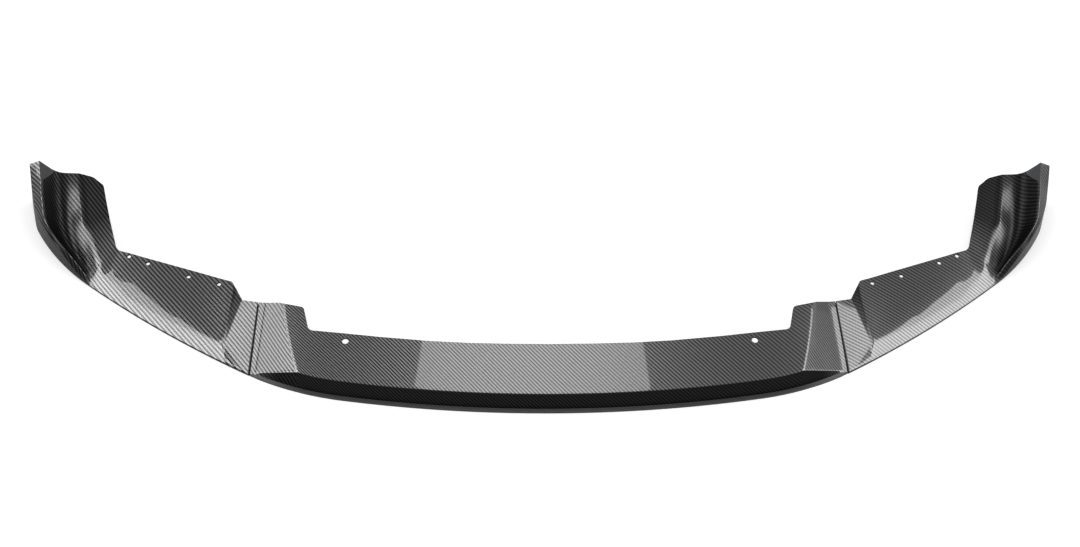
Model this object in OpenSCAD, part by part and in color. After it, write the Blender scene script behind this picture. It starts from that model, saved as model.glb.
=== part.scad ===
// Front splitter lip: a centre panel and two handed side panels with raised winglets.
// Origin at the middle of the footprint, front edge towards -Y, up is +Z, millimetres.

/* [Overall] */
// full width over the two winglets
lip_width = 1772; // [1650:1:1900]
// front edge of the centre panel to the rear of the winglets
lip_depth = 447; // [400:1:500]
// height of the winglet tips above the bottom edge
lip_height = 105; // [85:1:125]

/* [Skin] */
// thickness of the moulded panels
wall = 3; // [2.4:0.1:3.6]
// height of the upright strip along the bottom edge
edge_strip = 4; // [3.6:0.1:6]
// how far the bottom blade stands out in front of the centre face
blade_out = 6; // [4:0.5:9]

/* [Centre panel] */
// height of the top crease of the centre face
face_top = 36; // [30:1:44]
// height of the centre panel at its rear edge
plate_rear = 48; // [45:1:54]
// depth of the centre panel from front edge to rear edge
plate_depth = 102.4; // [90:1:112]
// how far the top crease lies behind the bottom edge
face_lean = 12.5; // [9:0.5:20]

/* [Side panels] */
// height of the soft crease behind the front slope
slope_top = 18; // [14:1:22]
// height of the side panel at its rear edge
side_rear = 32; // [28:1:36]

/* [Seams] */
// visible gap between the centre panel and each side panel
seam_gap = 2; // [1:0.1:3]
// reach of the hidden tongue under the centre panel
tongue_reach = 9; // [6:0.5:9.5]
// thickness of the hidden tongue
tongue_wall = 2.6; // [2:0.1:3.4]
// clearance between the tongue and the underside of the centre panel
tongue_clear = 0.2; // [0.1:0.05:0.5]

/* [Fixing holes] */
// diameter of the two holes in the centre panel
centre_hole = 10.7; // [7:0.1:12]
// distance of each centre hole from the middle
centre_hole_x = 332; // [300:1:350]
// how far the centre holes lie behind the middle of the rear edge
centre_hole_back = 10.4; // [6:0.1:11]
// diameter of the four small holes in each side panel
side_hole = 6.5; // [4:0.1:8]

/* [Hidden] */
sx = lip_width / 1772;
sy = lip_depth / 447;
sz = lip_height / 105;
big = 400;
eps = 0.01;
carbon = [0.16, 0.16, 0.17];

// ---- bottom front edge in plan, a chain of tangent arcs from the middle outwards ----
arc_len = [340, 170, 324, 150, 22, 53];
arc_head = [0, 9, 29, 38.5, 60.5, 74.5, 77];
function arc_end(p, i, t) =
    let (k = (arc_head[i + 1] - arc_head[i]) / arc_len[i], a = arc_head[i], r = 180 / (PI * k))
    [p.x + r * (sin(a + k * t) - sin(a)), p.y - r * (cos(a + k * t) - cos(a)), a + k * t];
function edge_at(s, i = 0, p = [0, 0, 0]) =
    s <= arc_len[i] || i == 5 ? arc_end(p, i, s)
        : edge_at(s - arc_len[i], i + 1, arc_end(p, i, arc_len[i]));

function mix(a, b, t) = a + (b - a) * t;
function polar(p, a, d) = [p.x + d * cos(a), p.y + d * sin(a)];
// design position to the frame of the part
function place(p) = [p.x * sx, p.y * sy - lip_depth / 2, p.z];
function plan(p) = [p.x * sx, p.y * sy - lip_depth / 2];

// ---- shared shell builder ----
// parallel curve of a section at the given depth on its hidden side
function unit(v) = v / max(norm(v), 0.0001);
function right_of(v) = [v.y, -v.x];
function inset(sec, w) =
    let (m = len(sec))
    [for (j = [0 : m - 1])
        let (n1 = right_of(unit(sec[max(j, 1)] - sec[max(j, 1) - 1])),
             n2 = right_of(unit(sec[min(j + 1, m - 1)] - sec[min(j + 1, m - 1) - 1])),
             n = unit(n1 + n2))
        j == 0 ? [w, 0] : sec[j] + n * w / max(n * n1, 0.45)];
// follows a section line that bends once in plan, at distance c from the edge
function along(e, a1, a2, c, q) =
    let (p = q.x <= c ? polar(e, a1, q.x) : polar(polar(e, a1, c), a2, q.x - c))
    place([p.x, p.y, q.y]);

// solid between two matching grids of points, the visible skin and the hidden skin
module shell(outer, inner) {
    n = len(outer);
    m = len(outer[0]);
    pts = concat([for (r = outer) each r], [for (r = inner) each r]);
    function o(i, j) = i * m + j;
    function h(i, j) = n * m + i * m + j;
    polyhedron(pts, concat(
        [for (i = [0 : n - 2], j = [0 : m - 2]) each
            [[o(i, j), o(i, j + 1), o(i + 1, j + 1)], [o(i, j), o(i + 1, j + 1), o(i + 1, j)]]],
        [for (i = [0 : n - 2], j = [0 : m - 2]) each
            [[h(i, j), h(i + 1, j + 1), h(i, j + 1)], [h(i, j), h(i + 1, j), h(i + 1, j + 1)]]],
        [for (i = [0 : n - 2]) each
            [[o(i, 0), o(i + 1, 0), h(i + 1, 0)], [o(i, 0), h(i + 1, 0), h(i, 0)],
             [o(i, m - 1), h(i + 1, m - 1), o(i + 1, m - 1)],
             [o(i, m - 1), h(i, m - 1), h(i + 1, m - 1)]]],
        [for (j = [0 : m - 2]) each
            [[o(0, j), h(0, j + 1), o(0, j + 1)], [o(0, j), h(0, j), h(0, j + 1)],
             [o(n - 1, j), o(n - 1, j + 1), h(n - 1, j + 1)],
             [o(n - 1, j), h(n - 1, j + 1), h(n - 1, j)]]]
    ), convexity = 8);
}

// closed outline with rounded corners, each corner given as [x, y, radius]
function rounded(c) =
    [for (i = [0 : len(c) - 1])
        let (n = len(c), p = [c[i].x, c[i].y], a = c[(i + n - 1) % n], b = c[(i + 1) % n],
             u = unit([a.x, a.y] - p), v = unit([b.x, b.y] - p), r = c[i].z,
             half = acos(max(-1, min(1, u * v))) / 2)
        each r <= 0 || half > 89 ? [p] :
            let (t = r / tan(half), m = unit(u + v), k = p + m * r / sin(half),
                 q0 = p + u * t, q1 = p + v * t,
                 a0 = atan2(q0.y - k.y, q0.x - k.x), a1 = atan2(q1.y - k.y, q1.x - k.x),
                 da = a1 - a0 > 180 ? a1 - a0 - 360 : a1 - a0 < -180 ? a1 - a0 + 360 : a1 - a0)
            [for (s = [0 : 5]) k + r * [cos(a0 + da * s / 5), sin(a0 + da * s / 5)]]];
module outline(c) {
    translate([0, 0, -1]) linear_extrude(big) polygon([for (p = rounded(c)) plan(p)]);
}

// ---- centre panel ----
// slope of the centre panel top, steepest in the middle
plate_slope = (plate_rear - face_top) / (plate_depth - face_lean);
crease_s = 409.2;
bright_s = 484.5;
seam_s = 496.3;
seam_front = [486.5, 78, 4];
seam_rear = [478.5, 204, 28];
bright_front = [476, 78, 5.4];
bright_rear = [465, 202, 30];
ear_front = [406, 57, face_top];
ear_rear = [438.5, 192, 48.4];
ear_bow = 3.5;
function seam_x(y) =
    seam_front.x + (seam_rear.x - seam_front.x) * (y - seam_front.y) / (seam_rear.y - seam_front.y);
function face_in(x) = face_lean + lookup(x, [[0, 0], [300, 0.2], [380, 0.6], [406, 2]]);
function stretch(a, b, d) = b + unit(b - a) * d;
// one station: front edge point, top crease point, far rear point
function centre_station(s) =
    let (e = edge_at(s))
    s <= crease_s ?
        let (x = e.x, f = face_in(x), g = plate_slope - 0.05 * pow(x / 406, 2), y = e.y + f)
        [e, [x, y, face_top], [x + 33 * pow(x / 406, 2), 206, face_top + g * (206 - y)]] :
    s <= bright_s ?
        let (t = (s - crease_s) / (bright_s - crease_s))
        [e, mix(ear_front, bright_front, t), stretch(bright_front, mix(ear_rear, bright_rear, t), 10)] :
        let (t = (s - bright_s) / (seam_s - bright_s))
        let (back = [t * seam_gap / 2, 0, 0])
        [e, mix(bright_front, seam_front, t) - back,
            stretch(bright_front, mix(bright_rear, seam_rear, t), 6) - back];
function centre_section(s) =
    let (st = centre_station(s), t = st[1], r = st[2],
         e = [st[0].x - (s > bright_s ? seam_gap / 2 : 0), st[0].y],
         f = norm([t.x - e.x, t.y - e.y]), a = atan2(t.y - e.y, t.x - e.x),
         d = norm([r.x - t.x, r.y - t.y]), b = atan2(r.y - t.y, r.x - t.x),
         o = min(blade_out, 0.6 * f), zt = t.z * sz, zr = r.z * sz)
    [e, a, b, f, [[0, 0], [0, edge_strip], [o, edge_strip + 0.1], [f, max(zt, edge_strip + 0.6)],
        [f + d * 0.25, mix(zt, zr, 0.25)], [f + d * 0.5, mix(zt, zr, 0.5)],
        [f + d * 0.75, mix(zt, zr, 0.75)], [f + d, zr]]];
// the ear crease bows outboard, and its neighbours follow it part of the way
function bow(s) = ear_bow * lookup(s, [[330, 0], [crease_s, 1], [bright_s, 0]]);
function row(c, sec, w) =
    [for (q = sec)
        let (t = max(0, (q.x - c[3]) / (sec[len(sec) - 1].x - c[3])))
        along(c[0], c[1], c[2], c[3], q) + [4 * w * t * (1 - t), 0, 0]];
half_stations = [0, 34, 68, 102, 136, 170, 204, 238, 272, 306, 332, 356, 378, 395, crease_s,
    428, 447, 466, bright_s, seam_s];
function flip(r) = [for (p = r) [-p.x, p.y, p.z]];
module centre_panel() {
    rows = [for (s = half_stations)
        let (c = centre_section(s)) [row(c, c[4], bow(s)), row(c, inset(c[4], wall), bow(s))]];
    k = len(rows);
    outer = concat([for (i = [k - 1 : -1 : 1]) flip(rows[i][0])], [for (i = [0 : k - 1]) rows[i][0]]);
    inner = concat([for (i = [k - 1 : -1 : 1]) flip(rows[i][1])], [for (i = [0 : k - 1]) rows[i][1]]);
    // outline of the right half, from the seam past the ear to the middle of the rear edge
    b = plate_depth;
    rear = [[510, -40, 0], [510, seam_rear.y + 1.8, 0], [seam_rear.x, seam_rear.y, 0], [465, 201.5, 12],
        [436, 187, 12], [402, 178.5, 9], [392, b + 32.2, 10], [341, b + 25.6, 0], [276, b + 16.6, 0],
        [196, b + 7.6, 0], [131, b + 3, 0], [66, b + 0.8, 0], [0, b, 0]];
    left = [for (i = [len(rear) - 2 : -1 : 0]) [-rear[i].x, rear[i].y, rear[i].z]];
    color(carbon) difference() {
        intersection() {
            shell(outer, inner);
            outline(concat(rear, left));
        }
        for (side = [-1, 1])
            translate([side * centre_hole_x * sx, (b + centre_hole_back) * sy - lip_depth / 2, 0])
                cylinder(d = centre_hole, h = big, center = true, $fn = 48);
    }
}

// ---- side panels ----
function line_dir(s) = lookup(s, [
    [497, 93.6], [541, 78.5], [542, 78.5], [553, 93], [628, 98], [749, 108], [806, 116],
    [829, 122], [854, 132], [879, 140], [908, 148], [940, 158], [973, 166], [992, 171],
    [1010, 175], [1034, 179], [1059, 180]
]);
function rear_dir(s) = s >= 553 ? line_dir(s) : lookup(s, [
    [497, 93.6], [541, 106.4], [542, 99.2], [553, 93]
]);
// outer face of the winglet: height and lean
function face_z(s) = lookup(s, [
    [829, edge_strip], [845, 9], [863, 18], [880, 30], [900, 40], [920, 47], [940, 53], [960, 58],
    [984, 63], [1006, 71], [1034, 85], [1059, 96.5], [1075, 99]
]);
function lean(s) = lookup(s, [[829, 0], [950, 0.02], [1000, 0.1], [1059, 0.12]]);
// ridge along the winglet top
function ridge_in(s) = lookup(s, [
    [829, 3.5], [845, 7], [863, 9.5], [880, 8.2], [900, 7], [920, 6], [940, 5.8], [953, 6.6],
    [960, 9], [972, 14], [987, 19.5], [1010, 24], [1034, 27.5], [1059, 29.5], [1075, 30.5]
]);
function ridge_z(s) = lookup(s, [
    [829, edge_strip + 2], [845, 12], [863, 22], [880, 34], [900, 44], [920, 52.5], [940, 61],
    [953, 67.5], [972, 77], [987, 84], [1010, 92], [1034, 99], [1059.5, 105]
]);
// foot of the inner wall
function wall_in(s) = lookup(s, [
    [829, 12], [845, 12.5], [854, 13.5], [879, 17], [908, 21.2], [940, 29.8], [973, 40.4],
    [992, 46.2], [1010, 49.2], [1034, 51.9], [1059, 54.4], [1075, 56]
]);
function wall_z(s) = lookup(s, [
    [829, 11.3], [845, 9], [854, 7.5], [879, 9], [908, 14.2], [940, 24.1], [973, 35.7],
    [992, 43.3], [1010, 51.4], [1034, 61.9], [1059, 74.7], [1075, 80]
]);
// near edge of the trough beside the wall
function trough_in(s) = lookup(s, [
    [829, 23.4], [854, 25], [879, 31], [908, 47], [940, 61.9], [973, 74], [992, 79.9],
    [1010, 82.8], [1034, 84.7], [1059, 85.4], [1075, 86]
]);
function trough_z(s) = lookup(s, [
    [829, 18.4], [854, 16], [879, 20], [908, 33.6], [940, 47.1], [973, 53.9], [992, 57.3],
    [1010, 61], [1034, 66.2], [1059, 73.4], [1075, 78]
]);
// soft crease between the front slope and the panel top
function crease_in(s) = lookup(s, [
    [497, 27], [541, 29.6], [542, 30], [553, 27], [628, 26.8], [749, 25.9], [806, 23],
    [829, 31.9], [854, 40.9], [879, 50.3], [908, 58.7], [940, 63.9], [973, 75.9], [992, 81.9],
    [1010, 84.8], [1034, 86.7], [1059, 87.4], [1075, 88]
]);
function crease_z(s) = lookup(s, [
    [497, 9], [541, slope_top - 0.5], [542, slope_top + 0.3], [553, slope_top],
    [749, slope_top - 1.3], [806, slope_top], [829, slope_top + 5.7], [854, 29.6], [879, 35.4],
    [908, 41.7], [940, 47.3], [973, 54], [992, 57.4], [1010, 61.1], [1034, 66.3], [1059, 73.4],
    [1075, 78]
]);
// rear or inner edge of the side panel
function inner_in(s) = lookup(s, [
    [497, 129], [541, 116], [542, 133.4], [553, 142.8], [628, 123], [749, 89], [806, 73.1],
    [829, 75.2], [854, 81.3], [879, 89.7], [908, 99.5], [940, 108.6], [973, 118.1], [992, 123.3],
    [1010, 126.4], [1034, 129.1], [1059, 131]
]);
function inner_z(s) = lookup(s, [
    [497, 28], [541, 28], [542, side_rear + 1], [553, side_rear], [806, side_rear],
    [829, side_rear + 3.3], [854, 38.8], [879, 42.9], [908, 47.6], [940, 51.6], [973, 56.2],
    [992, 58.3], [1010, 60.8], [1034, 64.5], [1059, 70], [1075, 74]
]);
function bezier(a, c, b, t) = mix(mix(a, c, t), mix(c, b, t), t);
function side_section(s) =
    let (h = face_z(s), r = [ridge_in(s), ridge_z(s)],
         c = [crease_in(s), crease_z(s)], i = [inner_in(s), inner_z(s)],
         w = s <= 829 ? mix(r, c, 0.3) : [wall_in(s), wall_z(s)],
         g = s <= 829 ? mix(r, c, 0.7) : [trough_in(s), trough_z(s)],
         a = mix(r, w, 0.6), b = mix(w, g, 0.6))
    concat([[0, 0], [lean(s) * h, h], r, mix(r, w, 0.3), a],
        [for (t = [0.25, 0.5, 0.75]) bezier(a, w, b, t)],
        [b, g, c + [0.3, 0], mix(c, i, 0.5), stretch(c, i, 9)]);
function lift(sec) = [for (q = sec) [q.x, q.y <= edge_strip ? q.y : q.y * sz]];
rear_s = 1059.5;
side_stations = [497, 508, 519, 530, 541, 542, 553, 578, 603, 628, 660, 700, 740, 775, 806, 829, 842,
    854, 866, 879, 893, 908, 924, 940, 953, 964, 975, 984, 992, 1001, 1010, 1022, 1034, 1047, rear_s];
// the last station lies on the rear plane
function side_edge(s) = s >= rear_s ? [edge_at(s).x, 447] : edge_at(s);
// line along the seam, offset outboard, and a row of points set on it
seam_dir = atan2(seam_rear.y - seam_front.y, seam_rear.x - seam_front.x);
function seam_line(off, y) = [seam_x(y) + off, y];
// the tongue rows lie under the centre panel, lowered by its skin and the clearance
function seam_row(sec, off, low, rise) =
    [for (q = sec)
        let (y = 75.6 + q.x * sin(seam_dir), z = q.y - low + rise * (1.4 + q.x / 200))
        place([seam_x(y) + off, y, max(z, min(q.y, 0.3))])];
module side_skin() {
    first = lift(side_section(side_stations[0]));
    under = inset(first, wall);
    drop = wall * 1.04 + tongue_clear;
    far = -seam_gap / 2 - tongue_reach - 2;
    rise = (tongue_reach + 2) / 12;
    outer = concat([seam_row(first, far, drop, rise), seam_row(first, -seam_gap / 2, drop, 0),
        seam_row(first, seam_gap / 2 - 0.9, drop, 0), seam_row(first, seam_gap / 2 - 0.3, 0, 0)],
        [for (s = side_stations) if (s > side_stations[0])
            let (sec = lift(side_section(s)), e = side_edge(s))
            [for (q = sec) along(e, line_dir(s), rear_dir(s), crease_in(s), q)]]);
    low = wall * 0.02 + tongue_clear + tongue_wall;
    inner = concat([seam_row(under, far, low, rise), seam_row(under, -seam_gap / 2, low, 0),
        seam_row(under, seam_gap / 2 + 2.6, low, 0), seam_row(under, seam_gap / 2 + 3.2, 0, 0)],
        [for (s = side_stations) if (s > side_stations[0])
            let (sec = inset(lift(side_section(s)), wall), e = side_edge(s))
            [for (q = sec) along(e, line_dir(s), rear_dir(s), crease_in(s), q)]]);
    shell(outer, inner);
}
side_holes = [[545.7, 240.6], [597.3, 256.4], [667, 284.6], [699.8, 299.2]];
module side_panel() {
    // the tongue stands inboard of the seam between these two lines
    t0 = 112;
    t1 = 197;
    g = seam_gap / 2;
    rear = concat([for (p = [seam_line(g, 20), seam_line(g, t0), seam_line(-g - tongue_reach, t0),
        seam_line(-g - tongue_reach, t1), seam_line(g, t1), seam_line(g, 204.3)]) [p.x, p.y, 0]],
        [[505.4, 208.7, 0], [517.6, 230.6, 3], [524.6, 244.2, 8], [721.5, 312.2, 14], [737.5, 367, 0],
        [746, 400, 0], [752.5, 427, 8], [771, 441.5, 18], [805, 449.4, 0], [930, 470, 0],
        [930, 20, 0]]);
    difference() {
        intersection() {
            side_skin();
            outline(rear);
        }
        for (p = side_holes)
            translate([p.x * sx, p.y * sy - lip_depth / 2, 0])
                cylinder(d = side_hole, h = big, center = true, $fn = 32);
    }
}
module right_side_panel() {
    color(carbon) side_panel();
}
module left_side_panel() {
    color(carbon) mirror([1, 0, 0]) side_panel();
}

centre_panel();
left_side_panel();
right_side_panel();
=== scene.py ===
# %% [markdown]
# Front splitter lip. The real one is three thin moulded panels fixed side by side: a centre panel, and two
# side panels that end in winglets. Box modelling could make them, but every section across a lip has the
# same corners, such as strip, crease and rear edge, and only their places change along the front edge. So
# each panel is a loft along that edge, on the same guide curves as the solids. The creases then catch the
# light where the real ones do, and a twill can be counted along the surface.

# %% Load the frame
import math
import bpy
import numpy as np
from mathutils import Matrix, Vector


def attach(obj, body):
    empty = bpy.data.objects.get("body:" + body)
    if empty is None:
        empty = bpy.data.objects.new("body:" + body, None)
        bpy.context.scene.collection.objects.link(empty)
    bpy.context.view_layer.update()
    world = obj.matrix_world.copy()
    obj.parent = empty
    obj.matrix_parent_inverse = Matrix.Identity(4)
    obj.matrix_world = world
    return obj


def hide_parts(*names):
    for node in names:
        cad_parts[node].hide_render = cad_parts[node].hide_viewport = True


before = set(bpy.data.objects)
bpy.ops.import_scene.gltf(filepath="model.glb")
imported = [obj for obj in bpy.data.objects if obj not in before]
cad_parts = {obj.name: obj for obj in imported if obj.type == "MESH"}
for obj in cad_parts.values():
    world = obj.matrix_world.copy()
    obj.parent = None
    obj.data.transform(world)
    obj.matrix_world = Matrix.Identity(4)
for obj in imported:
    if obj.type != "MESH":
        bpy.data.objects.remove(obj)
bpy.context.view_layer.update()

# %% Sizes in millimetres
MM = 0.001
DEPTH = 447.0  # whole lip, front to rear
WALL = 3.0  # skin of every panel
STRIP = 4.0  # upright strip along the bottom front edge
BLADE = 6.0  # how far the strip stands out before the centre face
LEAN = 12.5  # how far the centre face leans back
FACE_TOP = 36.0  # height of the centre panel's front crease
PLATE_REAR = 48.0  # height of its rear edge
PLATE_DEPTH = 102.4  # front to rear of the centre panel in the middle
SLOPE_TOP = 18.0  # height of the side panel's soft crease
SIDE_REAR = 32.0  # height of the side panel's rear edge
SEAM_GAP = 2.0
TONGUE_REACH, TONGUE_WALL, TONGUE_CLEAR = 9, 2.6, 0.2
print("lip", DEPTH, "mm deep, wall", WALL, "mm")

# %% [markdown]
# The bottom front edge in plan is a chain of arcs that run into each other without a kink, as a car's nose
# does. A point on it is found by its arc length from the middle, and that length numbers the stations.

# %% Front edge
ARC_LEN = [340, 170, 324, 150, 22, 53]
ARC_HEAD = [0, 9, 29, 38.5, 60.5, 74.5, 77]


def edge_at(s):
    """Point of the front edge at arc length s from the middle, and its heading in degrees."""
    x = y = 0.0
    last = len(ARC_LEN) - 1
    for i, length in enumerate(ARC_LEN):
        k = math.radians(ARC_HEAD[i + 1] - ARC_HEAD[i]) / length
        a = math.radians(ARC_HEAD[i])
        t = s if i == last else min(s, length)
        x += (math.sin(a + k * t) - math.sin(a)) / k
        y -= (math.cos(a + k * t) - math.cos(a)) / k
        if s <= length or i == last:
            return x, y, math.degrees(a + k * t)
        s -= length


END_S = 1059.5
print("front edge ends at", edge_at(END_S))

# %% [markdown]
# The side panel changes its shape all along: a flat facet at the seam, a soft slope, then a winglet that
# rises out of it. Each corner of its section gets two guides, one for the distance inwards and one for the
# height. They are straight near the seam, where the creases are crisp, and smooth on the winglet.

# %% Guide curve
FACET_END, RISER_END, WINGLET_S = 541, 553, 829
SPREAD = ((-1, 1), (-0.5, 2), (0, 3), (0.5, 2), (1, 1))


def guide(*knots):
    """Curve through (s, value) knots that never overshoots them."""
    xs, ys = np.array(knots, float).T
    h, d = np.diff(xs), np.diff(ys) / np.diff(xs)
    m = np.zeros(len(xs))
    m[0], m[-1] = d[0], d[-1]
    for i in range(1, len(xs) - 1):
        if d[i - 1] * d[i] > 0:
            w1, w2 = 2 * h[i] + h[i - 1], h[i] + 2 * h[i - 1]
            m[i] = (w1 + w2) / (w1 / d[i - 1] + w2 / d[i])

    def at(s):
        if s <= xs[0]:
            return float(ys[0])
        if s >= xs[-1]:
            return float(ys[-1])
        i = int(np.searchsorted(xs, s, side="right")) - 1
        t = (s - xs[i]) / h[i]
        if xs[i + 1] <= RISER_END:
            return float(ys[i] + t * (ys[i + 1] - ys[i]))
        return float((1 + 2 * t) * (1 - t) ** 2 * ys[i] + t * (1 - t) ** 2 * h[i] * m[i]
                     + t * t * (3 - 2 * t) * ys[i + 1] + t * t * (t - 1) * h[i] * m[i + 1])

    def value(s):
        """The curve itself, or on the winglet its mean over up to 14 mm to each side."""
        r = min(14.0, 0.5 * (s - 835), 0.5 * (END_S - s))
        if r <= 0:
            return at(s)
        return sum(w * at(s + r * k) for k, w in SPREAD) / 9
    return value


print("a guide halfway between 0 and 10:", guide((900, 0), (950, 10))(925))

# %% Guides of the side panel
# heading in degrees of the line that a section stands on
line_dir = guide(
    (497, 93.6), (541, 78.5), (542, 78.5), (553, 93), (628, 98), (749, 108), (806, 116), (829, 122),
    (854, 132), (879, 140), (908, 148), (940, 158), (973, 166), (992, 171), (1010, 175), (1034, 179),
    (1059, 180))
# the same behind the crease, beside the seam
rear_near_seam = guide(
    (497, 93.6), (541, 106.4), (542, 99.2), (553, 93))
# outer face: height
face_z = guide(
    (829, STRIP), (845, 9), (863, 18), (880, 30), (900, 40), (920, 47), (940, 53), (960, 58), (984, 63),
    (1006, 71), (1034, 85), (1059, 96.5), (1075, 99))
# outer face: lean inwards as a share of its height
lean_in = guide(
    (829, 0), (950, 0.02), (1000, 0.1), (1059, 0.12))
# ridge
ridge_in = guide(
    (829, 3.5), (845, 7), (863, 9.5), (880, 8.2), (900, 7), (920, 6), (940, 5.8), (953, 6.6), (960, 9),
    (972, 14), (987, 19.5), (1010, 24), (1034, 27.5), (1059, 29.5))
ridge_z = guide(
    (829, STRIP + 2), (845, 12), (863, 22), (880, 34), (900, 44), (920, 52.5), (940, 61), (953, 67.5),
    (972, 77), (987, 84), (1010, 92), (1034, 99), (1059.5, 105))
# foot of the inner wall
wall_in = guide(
    (829, 12), (845, 12.5), (854, 13.5), (879, 17), (908, 21.2), (940, 29.8), (973, 40.4), (992, 46.2),
    (1010, 49.2), (1034, 51.9), (1059, 54.4))
wall_z = guide(
    (829, 11.3), (845, 9), (854, 7.5), (879, 9), (908, 14.2), (940, 24.1), (973, 35.7), (992, 43.3),
    (1010, 51.4), (1034, 61.9), (1059, 74.7))
# trough
trough_in = guide(
    (829, 23.4), (854, 25), (879, 31), (908, 47), (940, 61.9), (973, 74), (992, 79.9), (1010, 82.8),
    (1034, 84.7), (1059, 85.4))
trough_z = guide(
    (829, 18.4), (854, 16), (879, 20), (908, 33.6), (940, 47.1), (973, 53.9), (992, 57.3), (1010, 61),
    (1034, 66.2), (1059, 73.4))
# crease between the front slope and the panel top
crease_in = guide(
    (497, 27), (541, 29.6), (542, 30), (553, 27), (628, 26.8), (749, 25.9), (806, 23), (829, 31.9),
    (854, 40.9), (879, 50.3), (908, 58.7), (940, 63.9), (973, 75.9), (992, 81.9), (1010, 84.8),
    (1034, 86.7), (1059, 87.4))
crease_z = guide(
    (497, 9), (541, SLOPE_TOP - 0.5), (542, SLOPE_TOP + 0.3), (553, SLOPE_TOP), (749, SLOPE_TOP - 1.3),
    (806, SLOPE_TOP), (829, SLOPE_TOP + 5.7), (854, 29.6), (879, 35.4), (908, 41.7), (940, 47.3),
    (973, 54), (992, 57.4), (1010, 61.1), (1034, 66.3), (1059, 73.4))
# rear edge
inner_in = guide(
    (497, 129), (541, 116), (542, 133.4), (553, 142.8), (628, 123), (749, 89), (806, 73.1), (829, 75.2),
    (854, 81.3), (879, 89.7), (908, 99.5), (940, 108.6), (973, 118.1), (992, 123.3), (1010, 126.4),
    (1034, 129.1), (1059, 131))
inner_z = guide(
    (497, 28), (541, 28), (542, SIDE_REAR + 1), (553, SIDE_REAR), (806, SIDE_REAR), (829, SIDE_REAR + 3.3),
    (854, 38.8), (879, 42.9), (908, 47.6), (940, 51.6), (973, 56.2), (992, 58.3), (1010, 60.8),
    (1034, 64.5), (1059, 70))
print("winglet's ridge ends", round(ridge_z(END_S), 1), "mm up")

# %% [markdown]
# A section is a line of corners in (distance inwards, height). Its hidden side is the same line, set in by
# the skin. The corners get small radii, as a moulding has, and both sides get as many points as each other,
# so that they pair up.

# %% Section tools


def unit(v):
    return v / max(float(np.hypot(*v)), 1e-4)


SHARPEST = 0.45  # keeps the hidden side from running far out at a sharp corner


def inset(sec, w):
    """The section set in by w, square to its stretches."""
    out = []
    last = len(sec) - 1
    for j in range(last + 1):
        a = unit(sec[max(j, 1)] - sec[max(j, 1) - 1])
        b = unit(sec[min(j + 1, last)] - sec[min(j + 1, last) - 1])
        n1, n2 = np.array([a[1], -a[0]]), np.array([b[1], -b[0]])
        n = unit(n1 + n2)
        out.append(sec[j] + n * w / max(float(n @ n1), SHARPEST))
    out[0] = np.array([w, 0.0])
    return out


def fine(sec, soft, counts, shape):
    """Dense points along a section. soft[j] is (before, after, steps) at corner j, counts[j] the points
    on the straight that follows corner j. Lengths are shares of shape, so both skins correspond."""
    out = [sec[0]]
    for j in range(len(sec) - 1):
        p, q = sec[j], sec[j + 1]
        size = max(float(np.hypot(*(shape[j + 1] - shape[j]))), 1e-4)
        d = (q - p) / size
        a = min(soft[j][1], size * 0.5) if soft[j] else 0.0
        b = min(soft[j + 1][0], (size - a) * 0.94) if soft[j + 1] else 0.0
        start, end = p + d * a, q - d * b
        out += [start + (end - start) * k / counts[j] for k in range(1, counts[j] + 1)]
        if soft[j + 1]:
            following = max(float(np.hypot(*(shape[j + 2] - shape[j + 1]))), 1e-4)
            c = q + (sec[j + 2] - q) * min(soft[j + 1][1], following * 0.5) / following
            for t in np.linspace(0, 1, soft[j + 1][2] + 1)[1:]:
                out.append((1 - t) ** 2 * end + 2 * t * (1 - t) * q + t * t * c)
    return np.array(out)


def run_length(points):
    return np.concatenate([[0], np.cumsum(np.hypot(*np.diff(points, axis=0).T))])


step = [np.array(p, float) for p in ((0, 0), (0, 10), (10, 10))]
print("a small rounded step has", len(fine(step, [None, (2, 2, 4), None], [3, 3], step)), "points")

# %% [markdown]
# The rear edges, the ears and the seams are cut in plan. Such an outline is a list of corners with radii. The
# solids' origin is the middle of the lip, so a plan point moves forward by half the depth.

# %% Plan tools


def rounded(corners, steps=10):
    """Closed outline from (x, y, radius) corners."""
    out, n = [], len(corners)
    for i in range(n):
        p = np.array(corners[i][:2], float)
        u = unit(np.array(corners[i - 1][:2], float) - p)
        v = unit(np.array(corners[(i + 1) % n][:2], float) - p)
        half = math.acos(max(-1.0, min(1.0, float(u @ v)))) / 2
        r = corners[i][2]
        if r <= 0 or math.degrees(half) > 89:
            out.append(p)
            continue
        t = r / math.tan(half)
        k = p + unit(u + v) * r / math.sin(half)
        q0, q1 = p + u * t - k, p + v * t - k
        a0, a1 = math.atan2(q0[1], q0[0]), math.atan2(q1[1], q1[0])
        da = (a1 - a0 + math.pi) % (2 * math.pi) - math.pi
        angles = [a0 + da * s / steps for s in range(steps + 1)]
        out += [k + r * np.array([math.cos(a), math.sin(a)]) for a in angles]
    return np.array(out)


def heading(a):
    return np.array([math.cos(math.radians(a)), math.sin(math.radians(a))])


def place(plan, z):
    return np.array([plan[0], plan[1] - DEPTH / 2, z])


def circle(x, y, d, n=64):
    turns = [2 * math.pi * i / n for i in range(n)]
    return [(x + d / 2 * math.cos(a), y + d / 2 * math.sin(a)) for a in turns]


square = rounded([(0, 0, 0), (10, 0, 2), (10, 10, 0), (0, 10, 0)])
print("a square with one round corner has", len(square), "points")

# %% [markdown]
# On the real panels a 2/2 twill shows diagonal stripes, and they follow the moulding. An image could show it,
# but the pattern stays sharp when it is counted in tows, the flat bundles that are woven. So each point
# stores how many tows lie between it and the panel's start, and the finish works out the weave from that.

# %% Tow counts


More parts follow.
